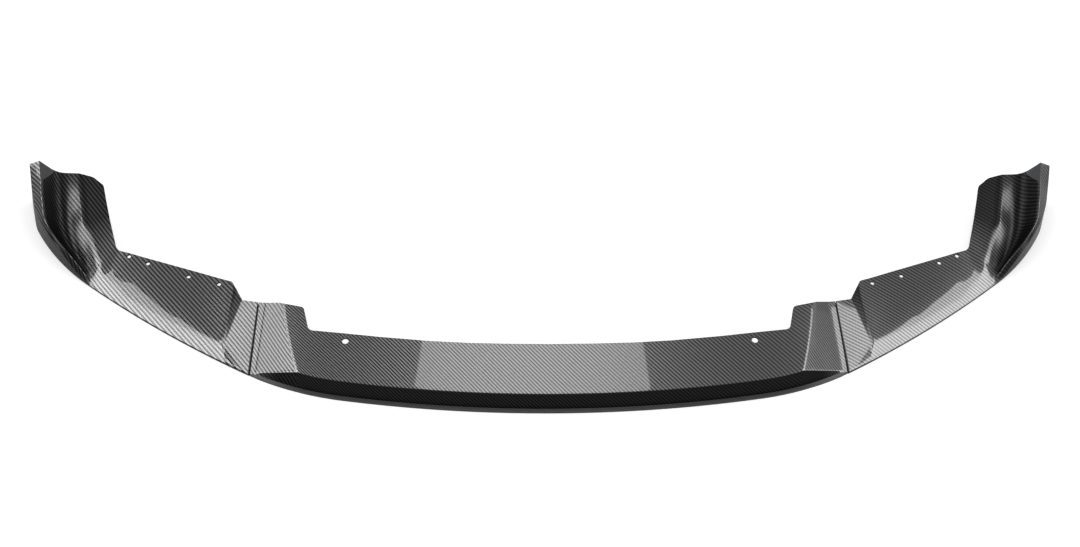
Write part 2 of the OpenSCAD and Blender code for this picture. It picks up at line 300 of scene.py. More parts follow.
def weave(points, stripe, period):
    """Turns plan lengths in mm into tow counts. The twill's diagonal then runs along the stripe angle, with
    the given period in mm between two stripes."""
    a = math.radians(-45 - stripe)
    tow = period * math.sqrt(2) / 4
    c, s = math.cos(a), math.sin(a)
    x, y = points[..., 0], points[..., 1]
    return np.stack([c * x - s * y, s * x + c * y], -1) / tow


print("a stripe every 4.6 mm needs a tow of", round(4.6 * math.sqrt(2) / 4, 2), "mm")

# %% [markdown]
# Finishes are node trees. One function turns a colour as it is picked on a screen into the linear one that
# the renderer needs, and one function adds a node and links it.

# %% Material helpers


def srgb(hex_colour):
    """Linear RGBA from an sRGB hex string."""
    c = [int(hex_colour[i:i + 2], 16) / 255 for i in (1, 3, 5)]
    return [v / 12.92 if v <= 0.04045 else ((v + 0.055) / 1.055) ** 2.4 for v in c] + [1.0]


def add(tree, kind, values=(), **settings):
    """New node. values maps a socket's name or number to a constant, to a node, which gives its first output,
    or to one output."""
    node = tree.nodes.new(kind)
    for key, value in settings.items():
        setattr(node, key, value)
    for key, value in dict(values).items():
        if isinstance(value, bpy.types.Node):
            value = value.outputs[0]
        if isinstance(value, bpy.types.NodeSocket):
            tree.links.new(value, node.inputs[key])
        else:
            node.inputs[key].default_value = value
    return node


def new_material(name):
    m = bpy.data.materials.new(name)
    m.use_nodes = True
    m.node_tree.nodes.clear()
    return m, m.node_tree


print("mid grey is", round(srgb("#808080")[0], 3), "in linear light")

# %% [markdown]
# Bare plastic: the undersides and the cut edges are drawn as black ABS, moulded with a satin grain. It gives
# the eye a dull black with hardly any highlight. The grain is about a millimetre, so noise in the bump does.

# %% Bare moulded plastic
bare, tree = new_material("moulded black ABS, satin")
grain = add(tree, "ShaderNodeTexNoise", {"Vector": add(tree, "ShaderNodeTexCoord").outputs["Object"],
                                         "Scale": 900.0, "Detail": 2.0})
bump = add(tree, "ShaderNodeBump", {"Height": grain.outputs["Fac"], "Strength": 0.1, "Distance": 0.0002})
satin = add(tree, "ShaderNodeBsdfPrincipled", {
    "Base Color": srgb("#0b0b0c"), "Roughness": 0.65, "Specular IOR Level": 0.12, "Normal": bump})
add(tree, "ShaderNodeOutputMaterial", {"Surface": satin})
print("finish:", bare.name)

# %% [markdown]
# Carbon twill film under gloss lacquer: tows cross over two and under two. Where the sum of both tow
# numbers, modulo four, is under two, the crosswise tow lies on top. Each tow is a low arch with fine strands,
# so its edges are darker than its crown. The photo's stripes give tows of 1.6 to 2 mm, the real size.

# %% Weave of the carbon film
carbon, tree = new_material("twill carbon film under gloss lacquer")
count = add(tree, "ShaderNodeSeparateXYZ", {0: add(tree, "ShaderNodeUVMap", uv_map="weave")})
u, v = count.outputs[0], count.outputs[1]
diagonal = add(tree, "ShaderNodeMath", {0: add(tree, "ShaderNodeMath", {0: u}, operation="FLOOR"),
                                        1: add(tree, "ShaderNodeMath", {0: v}, operation="FLOOR")},
               operation="ADD")
remainder = add(tree, "ShaderNodeMath", {0: diagonal, 1: 4.0}, operation="FLOORED_MODULO")
cross = add(tree, "ShaderNodeMath", {0: remainder, 1: 2.0}, operation="LESS_THAN")
arches = []
for tow in (u, v):
    across = add(tree, "ShaderNodeMath", {0: tow}, operation="FRACT")
    half_turn = add(tree, "ShaderNodeMath", {0: across, 1: math.pi}, operation="MULTIPLY")
    arches.append(add(tree, "ShaderNodeMath", {0: half_turn}, operation="SINE"))
arch = add(tree, "ShaderNodeMix", {0: cross, 2: arches[0], 3: arches[1]})
print("weave nodes:", len(tree.nodes))

# %% Strands in the tows
MANY, FEW = 16.0, 0.7  # strands seen across a tow, and changes of tone along it
fibres = []
for stretch in ((MANY, FEW), (FEW, MANY)):
    at_u = add(tree, "ShaderNodeMath", {0: u, 1: stretch[0]}, operation="MULTIPLY")
    at_v = add(tree, "ShaderNodeMath", {0: v, 1: stretch[1]}, operation="MULTIPLY")
    spot = add(tree, "ShaderNodeCombineXYZ", {0: at_u, 1: at_v})
    noise = add(tree, "ShaderNodeTexNoise", {"Vector": spot, "Scale": 1.0, "Detail": 1.0})
    fibres.append(noise.outputs["Fac"])
strand = add(tree, "ShaderNodeMix", {0: cross, 2: fibres[0], 3: fibres[1]})
# crown: each tow's edges are painted darker and its crown given more sheen, painted shade and highlight of the
# arch; tone: strands that differ at random
crown = add(tree, "ShaderNodeMath", {0: arch, 1: 0.25, 2: 0.8}, operation="MULTIPLY_ADD")
tone = add(tree, "ShaderNodeMath", {0: strand, 1: 0.3, 2: 0.85}, operation="MULTIPLY_ADD")
shade = add(tree, "ShaderNodeMath", {0: crown, 1: tone}, operation="MULTIPLY")
print("weave and strand nodes:", len(tree.nodes))

# %% [markdown]
# What the tows reflect. Carbon strands mirror light mostly to their sides, so lengthwise tows stay dark and
# crosswise tows shine. Towards the right end of the lip the two are made to even out: a painted change of sheen
# from left to right that stands in for how the light falls. Where a face stands upright or lies in a winglet's
# hollow, painted shade darkens the film, cuts its sheen and thins and roughens its coat, so it stays nearly
# black.

# %% Painted sheen from left to right, and painted shade
# painted sheen: from left to right the crosswise tows shine less and the lengthwise ones more, which stands in
# for how the light falls on the two halves
PAINTED_SHEEN_FROM, PAINTED_SHEEN_TO = -0.35, 0.45
place_x = add(tree, "ShaderNodeSeparateXYZ", {0: add(tree, "ShaderNodeTexCoord").outputs["Object"]})
painted_sheen_side = add(tree, "ShaderNodeMapRange", {0: place_x, 1: PAINTED_SHEEN_FROM, 2: PAINTED_SHEEN_TO},
          interpolation_type="SMOOTHSTEP")
along = add(tree, "ShaderNodeMix", {0: painted_sheen_side, 2: 0.0, 3: 0.12})
across = add(tree, "ShaderNodeMix", {0: painted_sheen_side, 2: 0.82, 3: 0.52})
# painted shade: steep faces and the graded places get darker film, less sheen and a thinner, rougher coat, so
# they stay nearly black
upright = add(tree, "ShaderNodeSeparateXYZ", {0: add(tree, "ShaderNodeUVMap", uv_map="upright")})
shade_mask = add(tree, "ShaderNodeMath", {0: upright.outputs[0], 1: upright.outputs[1]}, operation="MAXIMUM")
darker, duller, shade_coat_weight, shade_coat_roughness = (add(tree, "ShaderNodeMix", {0: shade_mask, 2: full, 3: least})
                                 for full, least in ((1.0, 0.35), (1.0, 0.12), (1.0, 0.1), (0.03, 0.35)))
print("the tows even out over", PAINTED_SHEEN_TO - PAINTED_SHEEN_FROM, "m")

# %% Carbon under lacquer
film = add(tree, "ShaderNodeMix", {0: cross, 6: srgb("#060606"), 7: srgb("#2c2c2d")}, data_type="RGBA")
shaded = add(tree, "ShaderNodeMath", {0: shade, 1: darker}, operation="MULTIPLY")
film = add(tree, "ShaderNodeVectorMath", {0: film.outputs[2], 3: shaded}, operation="SCALE")
sheen = add(tree, "ShaderNodeMix", {0: cross, 2: along, 3: across})
sheen = add(tree, "ShaderNodeMath", {0: sheen, 1: shade}, operation="MULTIPLY")
sheen = add(tree, "ShaderNodeMath", {0: sheen, 1: duller}, operation="MULTIPLY")
bump = add(tree, "ShaderNodeBump", {"Height": arch, "Strength": 0.12, "Distance": 0.0002})
twill = add(tree, "ShaderNodeBsdfPrincipled", {
    "Base Color": film, "Roughness": 0.34, "Specular IOR Level": sheen, "Normal": bump,
    "Coat Weight": shade_coat_weight, "Coat IOR": 1.36, "Coat Roughness": shade_coat_roughness})
print("twill nodes:", len(tree.nodes))

# %% [markdown]
# Two kinds of narrow place show no twill. Grey ones are the centre panel's blade, a strip along each ridge and
# a triangle at each winglet's rear. Dark ones run along the side panels' foot, and along the seams, where the
# dark is painted shade of the gap between the panels. The trim layer stores how far inside such a place a point
# lies, so that its border stays sharp.

# %% Grey and dark borders
grey = add(tree, "ShaderNodeBsdfPrincipled", {
    "Base Color": srgb("#424345"), "Roughness": 0.4, "Specular IOR Level": 0.15})
dark = add(tree, "ShaderNodeBsdfPrincipled", {
    "Base Color": srgb("#0c0c0c"), "Roughness": 0.4, "Specular IOR Level": 0.15})
inside = add(tree, "ShaderNodeSeparateXYZ", {0: add(tree, "ShaderNodeUVMap", uv_map="trim")})
in_grey, in_dark = (add(tree, "ShaderNodeMath", {0: inside.outputs[i], 1: 0.0}, operation="GREATER_THAN")
                    for i in (0, 1))
with_grey = add(tree, "ShaderNodeMixShader", {0: in_grey, 1: twill, 2: grey})
with_dark = add(tree, "ShaderNodeMixShader", {0: in_dark, 1: with_grey, 2: dark})
add(tree, "ShaderNodeOutputMaterial", {"Surface": with_dark})
print("finish:", carbon.name)

# %% [markdown]
# Each panel is one closed skin between a visible and a hidden grid of points. A Solidify modifier could give
# the wall too, but with two grids the tongue and the foot have their own thickness.

# %% Closed skin


def quads(a, b, c, d):
    return np.stack([a, b, c, d], -1).reshape(-1, 4)


def skin(name, outer, inner, tows, trims, plain_cells, shade_painted):
    """Closed mesh from two matching grids in mm. plain_cells marks the visible cells of bare plastic. The last
    grid is painted shade: 0 where none is painted and 1 where it is deepest, with darker film and a thinner,
    rougher coat."""
    n, m = outer.shape[:2]
    verts = np.vstack([outer.reshape(-1, 3), inner.reshape(-1, 3)]) * MM
    top = np.arange(n * m).reshape(n, m)
    low = top + n * m
    faces = np.vstack([quads(top[:-1, :-1], top[1:, :-1], top[1:, 1:], top[:-1, 1:]),
                       quads(low[:-1, :-1], low[:-1, 1:], low[1:, 1:], low[1:, :-1]),
                       quads(top[0, :-1], top[0, 1:], low[0, 1:], low[0, :-1]),
                       quads(top[-1, :-1], low[-1, :-1], low[-1, 1:], top[-1, 1:]),
                       quads(top[:-1, 0], low[:-1, 0], low[1:, 0], top[1:, 0]),
                       quads(top[:-1, -1], top[1:, -1], low[1:, -1], low[:-1, -1])])
    mesh = bpy.data.meshes.new(name)
    mesh.from_pydata(verts.tolist(), [], faces.tolist())
    slots = np.ones(len(faces), dtype=np.int32)
    slots[:(n - 1) * (m - 1)] = plain_cells.reshape(-1)
    mesh.materials.append(carbon)
    mesh.materials.append(bare)
    mesh.polygons.foreach_set("material_index", slots)
    normal = np.cross(np.gradient(outer, axis=0), np.gradient(outer, axis=1))
    # the upright layer holds how steep a face is and the painted shade grade; the finish paints shade with
    # both, so steeper faces are darker
    lie = np.abs(normal[..., 2]) / np.maximum(np.linalg.norm(normal, axis=-1), 1e-9)
    stand = np.stack([np.clip((0.72 - lie) / 0.37, 0, 1), shade_painted + 0 * lie], -1)
    for layer, values in (("weave", tows), ("trim", trims), ("upright", stand)):
        both = np.vstack([values.reshape(-1, 2)] * 2)[faces.reshape(-1)]
        uv = mesh.uv_layers.new(name=layer)
        uv.data.foreach_set("uv", both.reshape(-1).astype(np.float32))
    o = bpy.data.objects.new(name, mesh)
    bpy.context.scene.collection.objects.link(o)
    return o


print("the skin takes", (carbon.name, bare.name))

# %% [markdown]
# A real panel is trimmed after moulding and then drilled. The same is done here with Boolean cuts: a prism
# of the plan outline is drilled first, and the skin is cut by it only once, which keeps the mesh clean.

# %% Trim and drill


def prism(name, outline, low, high):
    """Upright solid over a closed outline in plan."""
    n = len(outline)
    verts = [(x * MM, (y - DEPTH / 2) * MM, z * MM) for z in (low, high) for x, y in outline]
    faces = [tuple(range(n))[::-1], tuple(range(n, 2 * n))]
    faces += [(i, (i + 1) % n, n + (i + 1) % n, n + i) for i in range(n)]
    area = sum(outline[i - 1][0] * outline[i][1] - outline[i][0] * outline[i - 1][1] for i in range(n))
    if area < 0:
        faces = [f[::-1] for f in faces]
    mesh = bpy.data.meshes.new(name)
    mesh.from_pydata(verts, [], faces)
    mesh.materials.append(bare)
    for layer in ("weave", "trim", "upright"):
        mesh.uv_layers.new(name=layer)
    o = bpy.data.objects.new(name, mesh)
    bpy.context.scene.collection.objects.link(o)
    return o


def cut(o, tool, operation):
    """Boolean of o with tool, written back into o's own mesh. The tool is removed."""
    mod = o.modifiers.new("cut", "BOOLEAN")
    mod.operation, mod.object = operation, tool
    mod.solver, mod.material_mode = "EXACT", "TRANSFER"
    result = bpy.data.meshes.new_from_object(o.evaluated_get(bpy.context.evaluated_depsgraph_get()))
    o.modifiers.remove(mod)
    old, o.data = o.data, result
    bpy.data.meshes.remove(old)
    bpy.data.meshes.remove(tool.data)


def trimmed(o, outline, holes):
    """Trims o to an outline in plan, with (x, y, diameter) holes."""
    tool = prism("outline_" + o.name, outline, -1, 400)
    for x, y, d in holes:
        cut(tool, prism("hole", circle(x, y, d), -9, 410), "DIFFERENCE")
    cut(o, tool, "INTERSECT")


def complete(o, node):
    """Smooth shading with crisp cut edges; then the object is parented to the root body and its part node is
    hidden.
    """
    o.data.name = o.name
    o.data.polygons.foreach_set("use_smooth", np.ones(len(o.data.polygons), dtype=bool))
    o.data.set_sharp_from_angle(angle=math.radians(32))
    o.data.update()
    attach(o, "root")
    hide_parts(node)
    points = np.array([v.co[:] for v in o.data.vertices])
    print(o.name, len(o.data.polygons), "faces", points.min(axis=0).round(4), points.max(axis=0).round(4))


print("a hole of 10 mm has", len(circle(0, 0, 10)), "sides")

# %% [markdown]
# Centre panel: an upright strip, a blade that stands out 6 mm, a leaning face and the long plate. Past the
# ear crease it turns down towards the seam, and the last narrow facet lies along the seam. Its sections are
# given by their front and rear points, which move along straight lines between the creases.

# %% Lines of the centre panel
CREASE_S, BLEND_S, BRIGHT_S, SEAM_S = 409.2, 428, 484.5, 496.3
EAR_X = 406
PAST_REAR = 206  # the skin runs on to here, and the outline trims it
seam_front, seam_rear = np.array([486.5, 78, 4.0]), np.array([478.5, 204, 28.0])
bright_front, bright_rear = np.array([476, 78, 5.4]), np.array([465, 202, 30.0])
ear_front, ear_rear = np.array([EAR_X, 57, FACE_TOP]), np.array([438.5, 192, 48.4])


def push(a, b, d):
    """b moved on by d along the line from a."""
    return b + (b - a) / np.linalg.norm(b - a) * d


def centre_station(s):
    """Foot in plan, point on the front crease and point past the rear edge at one station."""
    x, y, turn = edge_at(s)
    e = np.array([x, y])
    if s <= CREASE_S:
        out = (x / EAR_X) ** 2
        f = LEAN + np.interp(x, [0, 300, 380, EAR_X], [0, 0.2, 0.6, 2])
        climb = (PLATE_REAR - FACE_TOP) / (PLATE_DEPTH - LEAN) - 0.05 * out
        top = np.array([x, y + f, FACE_TOP])
        rear = np.array([x + 33 * out, PAST_REAR, FACE_TOP + climb * (PAST_REAR - y - f)])
    elif s <= BRIGHT_S:
        t = (s - CREASE_S) / (BRIGHT_S - CREASE_S)
        top = ear_front + (bright_front - ear_front) * t
        rear = push(bright_front, ear_rear + (bright_rear - ear_rear) * t, 10)
    else:
        t = (s - BRIGHT_S) / (SEAM_S - BRIGHT_S)
        back = np.array([t * SEAM_GAP / 2, 0, 0])
        e = e - [SEAM_GAP / 2, 0]
        top = bright_front + (seam_front - bright_front) * t - back
        rear = push(bright_front, bright_rear + (seam_rear - bright_rear) * t, 6) - back
    return e, top, rear


print("front crease in the middle:", centre_station(0)[1])

# %% Rows of the centre panel
CENTRE_SOFT = [None, (0.5, 0.5, 2), (0.5, 0.5, 2), (1.1, 1.1, 3), None]
CENTRE_COUNTS = [3, 3, 8, 44]
# angle and period in mm of the twill's stripes, on the plate and on the parts turned down to the seams
PLATE_STRIPE, TURNED_STRIPE = (-48.6, 4.85), {-1: (-60.0, 4.6), 1: (-50.0, 4.6)}


def centre_row(s, side, flat_tows=False):
    """Visible points, hidden points and tow counts of one station. side is -1 for the left half."""
    if CREASE_S < s < BLEND_S - 0.1:
        t = (s - CREASE_S) / (BLEND_S - CREASE_S)
        crease, past = centre_row(CREASE_S, side), centre_row(BLEND_S, side)
        near = crease[0], crease[1], centre_row(CREASE_S, side, True)[2]
        return tuple(a + (b - a) * t for a, b in zip(near, past))
    e, top, rear = centre_station(s)
    a, b = unit(top[:2] - e), unit(rear[:2] - top[:2])
    f, d = float(np.hypot(*(top[:2] - e))), float(np.hypot(*(rear[:2] - top[:2])))
    blade = min(BLADE, 0.6 * f)
    corners = (0, 0), (0, STRIP), (blade, STRIP + 0.1), (f, max(top[2], STRIP + 0.6)), (f + d, rear[2])
    sec = [np.array(p, float) for p in corners]
    swell = 3.5 * np.interp(s, [330, CREASE_S, BRIGHT_S], [0, 1, 0])
    rows = []
    for line in (sec, inset(sec, WALL)):
        pts = fine(line, CENTRE_SOFT, CENTRE_COUNTS, sec)
        row = []
        for q in pts:
            plan = e + a * q[0] if q[0] <= f else top[:2] + b * (q[0] - f)
            t = max(0.0, (q[0] - f) / max(line[-1][0] - f, 1e-6))
            p = place(plan, q[1])
            p[0] = side * (p[0] + 4 * swell * t * (1 - t))
            row.append(p)
        rows.append(np.array(row))
        if len(rows) == 1:
            run = run_length(pts)
            ahead = run - np.interp(f, pts[:, 0], run)
    if s <= CREASE_S and not flat_tows:
        return rows[0], rows[1], weave(np.stack([np.full(len(ahead), side * s), ahead], -1), *PLATE_STRIPE)
    flat = np.stack([side * (top[0] + b[0] * ahead), top[1] + b[1] * ahead], -1)
    return rows[0], rows[1], weave(flat, *TURNED_STRIPE[side])


print("points in one row:", len(centre_row(0, 1)[0]))

# %% Centre panel
half = np.concatenate([np.linspace(a, b, n)[skip:] for a, b, n, skip in (
    (0, 340, 86, 0), (340, CREASE_S, 22, 1), (CREASE_S, BLEND_S, 7, 1), (BLEND_S, BRIGHT_S, 18, 1),
    (BRIGHT_S, SEAM_S, 4, 1))])
rows = [centre_row(s, -1) for s in half[:0:-1]] + [centre_row(s, 1) for s in half]
outer, inner, tows = (np.array([r[i] for r in rows]) for i in range(3))
# the first ten columns are the strip and the blade, and a dark millimetre along each seam is painted shade of
# the gap
bare_foot = np.where(np.arange(outer.shape[1]) < 10, 1.0, -1.0)
last = len(rows) - 1
seam_painted_shade = np.interp(np.arange(len(rows)), [0, 1, last - 1, last], [1.0, -3.0, -3.0, 1.0])
trims = np.stack([bare_foot[None, :] + 0 * tows[..., 0], seam_painted_shade[:, None] + 0 * tows[..., 0]], -1)
all_film = np.zeros((len(rows) - 1, outer.shape[1] - 1), dtype=np.int32)
centre = skin("centre_panel_skin", outer, inner, tows, trims, all_film, 0.0)
print("centre grid:", outer.shape[:2])

# %% Rear edge and holes of the centre panel
HOLE_X, HOLE_BACK, HOLE_D = 332, 10.4, 10.7
rear_edge = [(510, -40, 0), (510, 205.8, 0), (478.5, 204, 0), (465, 201.5, 12), (436, 187, 12), (402, 178.5, 9)]
rear_edge += [(x, PLATE_DEPTH + further, r) for x, further, r in (
    (392, 32.2, 10), (341, 25.6, 0), (276, 16.6, 0), (196, 7.6, 0), (131, 3, 0), (66, 0.8, 0), (0, 0, 0))]
outline = rounded(rear_edge + [(-x, y, r) for x, y, r in rear_edge[-2::-1]])
trimmed(centre, outline, [(side * HOLE_X, PLATE_DEPTH + HOLE_BACK, HOLE_D) for side in (-1, 1)])
complete(centre, "centre_panel")

# %% [markdown]
# Side panel: the seam facet, the front slope with its soft crease, the panel top, and the winglet with a
# thin ridge, an inner wall and a trough. A hidden tongue reaches under the centre panel, and only the seam
# rows make it. Every row has the same number of points, so a column is one line along the panel: 9 is the
# top of the outer face, 15 the ridge, 29 the foot of the wall, 39 the trough, 48 the crease and 84 the rear.

# %% Seam line
RIDGE, CREASE, REAR = 15, 48, 84
SEAM_FOOT_Y = 75.6
seam_slope = (seam_rear[0] - seam_front[0]) / (seam_rear[1] - seam_front[1])
seam_turn = math.atan2(seam_rear[1] - seam_front[1], seam_rear[0] - seam_front[0])
gap = SEAM_GAP / 2


def seam_x(y):
    return seam_front[0] + seam_slope * (y - seam_front[1])


print("seam runs from x", seam_x(seam_front[1]), "to", seam_x(seam_rear[1]), "mm")

# %% Rows of the side panel
SIDE_COUNTS = [8, 3, 8, 4, 3, 32]


def side_section(s):
    """Corners of the section: foot, top of the outer face, ridge, foot of the wall, trough, crease, rear."""
    h = face_z(s)
    p0, p1, r = np.zeros(2), np.array([lean_in(s) * h, h]), np.array([ridge_in(s), ridge_z(s)])
    c, i = np.array([crease_in(s), crease_z(s)]), np.array([inner_in(s), inner_z(s)])
    if s <= WINGLET_S:
        k = np.clip((WINGLET_S - s) / 60, 0, 1)
        w, g = r + (c - r) * (0.3 - 0.25 * k), r + (c - r) * (0.7 - 0.58 * k)
    else:
        w, g = np.array([wall_in(s), wall_z(s)]), np.array([trough_in(s), trough_z(s)])
    return [p0, p1, r, w, g, c, i + unit(i - c) * 9]


def side_row(s, seam=None):
    """Both grids' points of one station, its flattened plan points and the lengths from the ridge.
    seam=((offset, drop) of the visible side, (offset, drop) of the hidden side, rise) sets it on the seam."""
    x, y, turn = edge_at(s)
    e = np.array([x, DEPTH if s >= END_S else y])
    sec = side_section(s)
    c_in = crease_in(s)
    rw, wg = float(np.hypot(*(sec[3] - sec[2]))), float(np.hypot(*(sec[4] - sec[3])))
    broad = np.interp(s, [FACET_END, RISER_END, 650, 780, WINGLET_S, 860], [4, 14, 34, 34, 16, 10])
    bend = min(7, 0.3 * wg)
    soft = [None, (0.7, 0.7, 2), (1.4, 1.4, 4), (0.4 * rw, 0.5 * wg, 8), (bend, bend, 4),
            (broad * 0.6, broad, 8), None]
    a1 = line_dir(s)
    a2 = a1 if s >= RISER_END else rear_near_seam(s)
    rows = []
    for k, line in enumerate((sec, inset(sec, WALL))):
        pts = fine(line, soft, SIDE_COUNTS, sec)
        row = []
        for q in pts:
            if seam:
                offset, drop = seam[k]
                yy = SEAM_FOOT_Y + q[0] * math.sin(seam_turn)
                # the tongue's free end rises towards the centre panel's underside
                z = q[1] - drop + seam[2] * (1.4 + q[0] / 200)
                row.append(place((seam_x(yy) + offset, yy), max(z, min(q[1], 0.3))))
            else:
                plan = e + heading(a1) * min(q[0], c_in)
                if q[0] > c_in:
                    plan = plan + heading(a2) * (q[0] - c_in)
                row.append(place(plan, q[1]))
        rows.append(np.array(row))
        if k == 0:
            run = run_length(pts)
            ahead, crest = run - run[CREASE], run - run[RIDGE]
            start = e + heading(a1) * pts[CREASE][0]
    flat = np.array([start + heading(a1 if t <= 0 else a2) * t for t in ahead])
    return rows[0], rows[1], flat, crest


print("ridge height at the bend:", side_section(940)[2][1].round(1), "mm")

# %% Grid of the side panel
drop, low = WALL * 1.04 + TONGUE_CLEAR, WALL * 0.02 + TONGUE_CLEAR + TONGUE_WALL
far = -gap - TONGUE_REACH - 2
rows = [side_row(497, seam) for seam in (
    ((far, drop), (far, low), (TONGUE_REACH + 2) / 12), ((-gap, drop), (-gap, low), 0),
    ((gap - 0.9, drop), (gap + 2.6, low), 0), ((gap - 0.3, 0), (gap + 3.2, 0), 0))]
FIRST_S = 508
first, second = rows[-1], side_row(FIRST_S)
# two rows between the seam and the first station
for t in (0.33, 0.67):
    rows.append(tuple(a + (b - a) * t for a, b in zip(first, second)))
stations = [0.0] * len(rows)
for a, b, n, skip in ((FIRST_S, FACET_END, 12, 0), (542, RISER_END, 8, 0), (RISER_END, WINGLET_S, 70, 1),
                      (WINGLET_S, END_S, 93, 1)):
    stations += list(np.linspace(a, b, n)[skip:])
rows += [side_row(s) for s in stations[len(rows):]]
outer, inner, flat, crest = (np.array([r[i] for r in rows]) for i in range(4))
print("side grid:", outer.shape[:2])

# %% [markdown]
# The winglets' hollows and outer faces are nearly black, and so is the riser beside the seam facet, as where
# dark parts of a room are mirrored. Black cards could do that, but they would show in the plates too. So a
# grade from 0 to 1 over rows and columns paints shade just there: darker film, less sheen and a thinner,
# rougher coat.

# %% Painted shade
past = np.arange(len(rows)) - (len(rows) - 93)
column = np.arange(outer.shape[1])


def graded(at_rows, row_levels, at_columns, column_levels):
    """Product of a grade along the panel, from the winglet's first row, and a grade across it."""
    lengthwise = np.interp(past, at_rows, row_levels)
    return lengthwise[:, None] * np.interp(column, at_columns, column_levels)[None, :]


# each grade below is painted shade: darker film, less sheen and a thinner, rougher coat
wall_and_trough = graded([-3, 9], [0, 1], [16, 19, 30, 36, 44, 50, 54], [0, 1, 1, 0.55, 0.45, 0.15, 0])
winglet_top = graded([6, 40], [0, 0.8], [44, 50], [0, 1])
outer_face = graded([-12, 12], [0, 0.85], [0, 8, 11], [1, 1, 0])
chamfer = graded([-6, 6, 38, 58], [0, 0.9, 0.9, 0], [0, 13, 15], [1, 1, 0])
shade_painted = np.maximum(np.maximum(wall_and_trough + winglet_top, outer_face), chamfer)
# painted shade on the riser beside the seam facet, a dark wedge that widens towards the rear edge
station = np.array(stations)
riser = np.interp(column, [CREASE + 2, REAR], [0, 8])[None, :] - (station - FACET_END)[:, None]
at_riser = ((station > FACET_END - 0.5) & (station < RISER_END + 1))[:, None]
shade_painted = np.where(at_riser, np.clip(riser / 2, 0, 0.9), shade_painted)
print("share of the side panel with thin lacquer:", round(float((shade_painted > 0.5).mean()), 2))

# %% [markdown]
# The film stops twice on a winglet: at a strip 3 mm wide along the ridge, and at a triangle at the rear of
# the wall. Both are stored as distances in mm, so that the finish draws their borders sharply.

# %% Trims and outline of the side panel
BARE_TRIANGLE = np.array([[857, 447], [851, 410], [835, 447]], float)
RIDGE_STRIP = 3.2
TONGUE_FROM, TONGUE_TO = 82, 202
SIDE_HOLES, SIDE_HOLE_D = ((545.7, 240.6), (597.3, 256.4), (667, 284.6), (699.8, 299.2)), 6.5
side_outline = [(seam_x(y) + off, y, 0) for off, y in (
    (0.3 - gap, 20), (0.3 - gap, TONGUE_FROM), (-gap - TONGUE_REACH, TONGUE_FROM),
    (-gap - TONGUE_REACH, TONGUE_TO), (gap, TONGUE_TO), (gap, 204.3))]
side_outline += [(505.4, 208.7, 0), (517.6, 230.6, 3), (524.6, 244.2, 8), (721.5, 312.2, 14), (737.5, 367, 0),
                 (746, 400, 0), (752.5, 427, 8), (771, 441.5, 18), (805, 449.4, 0), (930, 470, 0), (930, 20, 0)]


def side_trims():
    """How far each visible point lies inside the bare places, inside the dark foot, and inside the painted
    shade along the seam.
    """
    x, y, z = outer[..., 0], outer[..., 1] + DEPTH / 2, outer[..., 2]
    in_triangle = np.full(x.shape, 1e3)
    for k in range(3):
        p, q, opposite = BARE_TRIANGLE[k], BARE_TRIANGLE[(k + 1) % 3], BARE_TRIANGLE[k - 1]
        d = unit(q - p)
        sign = np.sign(d[0] * (opposite - p)[1] - d[1] * (opposite - p)[0])
        in_triangle = np.minimum(in_triangle, sign * (d[0] * (y - p[1]) - d[1] * (x - p[0])))
    in_triangle = np.where(z > 60, in_triangle, -1.0)
    in_strip = np.where(z > 20, np.minimum(crest - 0.2, RIDGE_STRIP - crest), -1.0)
    in_foot = np.where(column < 10, STRIP - z, -1.0)
    # painted shade along the seam: the rows at the gap are drawn dark
    in_seam_shade = np.interp(np.arange(len(rows)), [3, 4], [1.0, -2.5])[:, None]
    return np.stack([np.maximum(in_triangle, in_strip), np.maximum(in_foot, in_seam_shade)], -1)


print("outline corners:", len(side_outline))

# %% Side panels
SIDE_STRIPE = {-1: (-50.0, 5.65), 1: (-33.0, 5.5)}


def side_panel(side):
    """side is 1 for the right panel and -1 for its mirror, whose rows run the other way."""
    flip = np.array([side, 1, 1])
    tows = weave(flat * flip[:2], *SIDE_STRIPE[side])
    plain_cells = np.zeros((len(rows) - 1, outer.shape[1] - 1), dtype=np.int32)
    plain_cells[:3] = 1
    grids = [outer * flip, inner * flip, tows, side_trims(), plain_cells, shade_painted]
    if side < 0:
        grids = [grid[::-1] for grid in grids]
    name = "right_side_panel" if side > 0 else "left_side_panel"
    panel = skin(name + "_skin", *grids)
    trimmed(panel, rounded([(side * x, y, r) for x, y, r in side_outline]),
            [(side * x, y, SIDE_HOLE_D) for x, y in SIDE_HOLES])
    complete(panel, name)
    return panel


right, left = side_panel(1), side_panel(-1)

# %% [markdown]
# The floor takes light and shadow as a pale surface. What the camera and the gloss see of it is lifted to
# white by its own colour, not by more light on the panels. The world does the same above it.

# %% Background rays


def seen(tree):
    """1 for rays that show the background: camera, glossy and transmission."""
    path = add(tree, "ShaderNodeLightPath").outputs
    mirrored = add(tree, "ShaderNodeMath", {0: path["Is Glossy Ray"], 1: path["Is Transmission Ray"]},
                   operation="MAXIMUM")
    return add(tree, "ShaderNodeMath", {0: path["Is Camera Ray"], 1: mirrored}, operation="MAXIMUM")


print("background rays: camera, glossy and transmission")

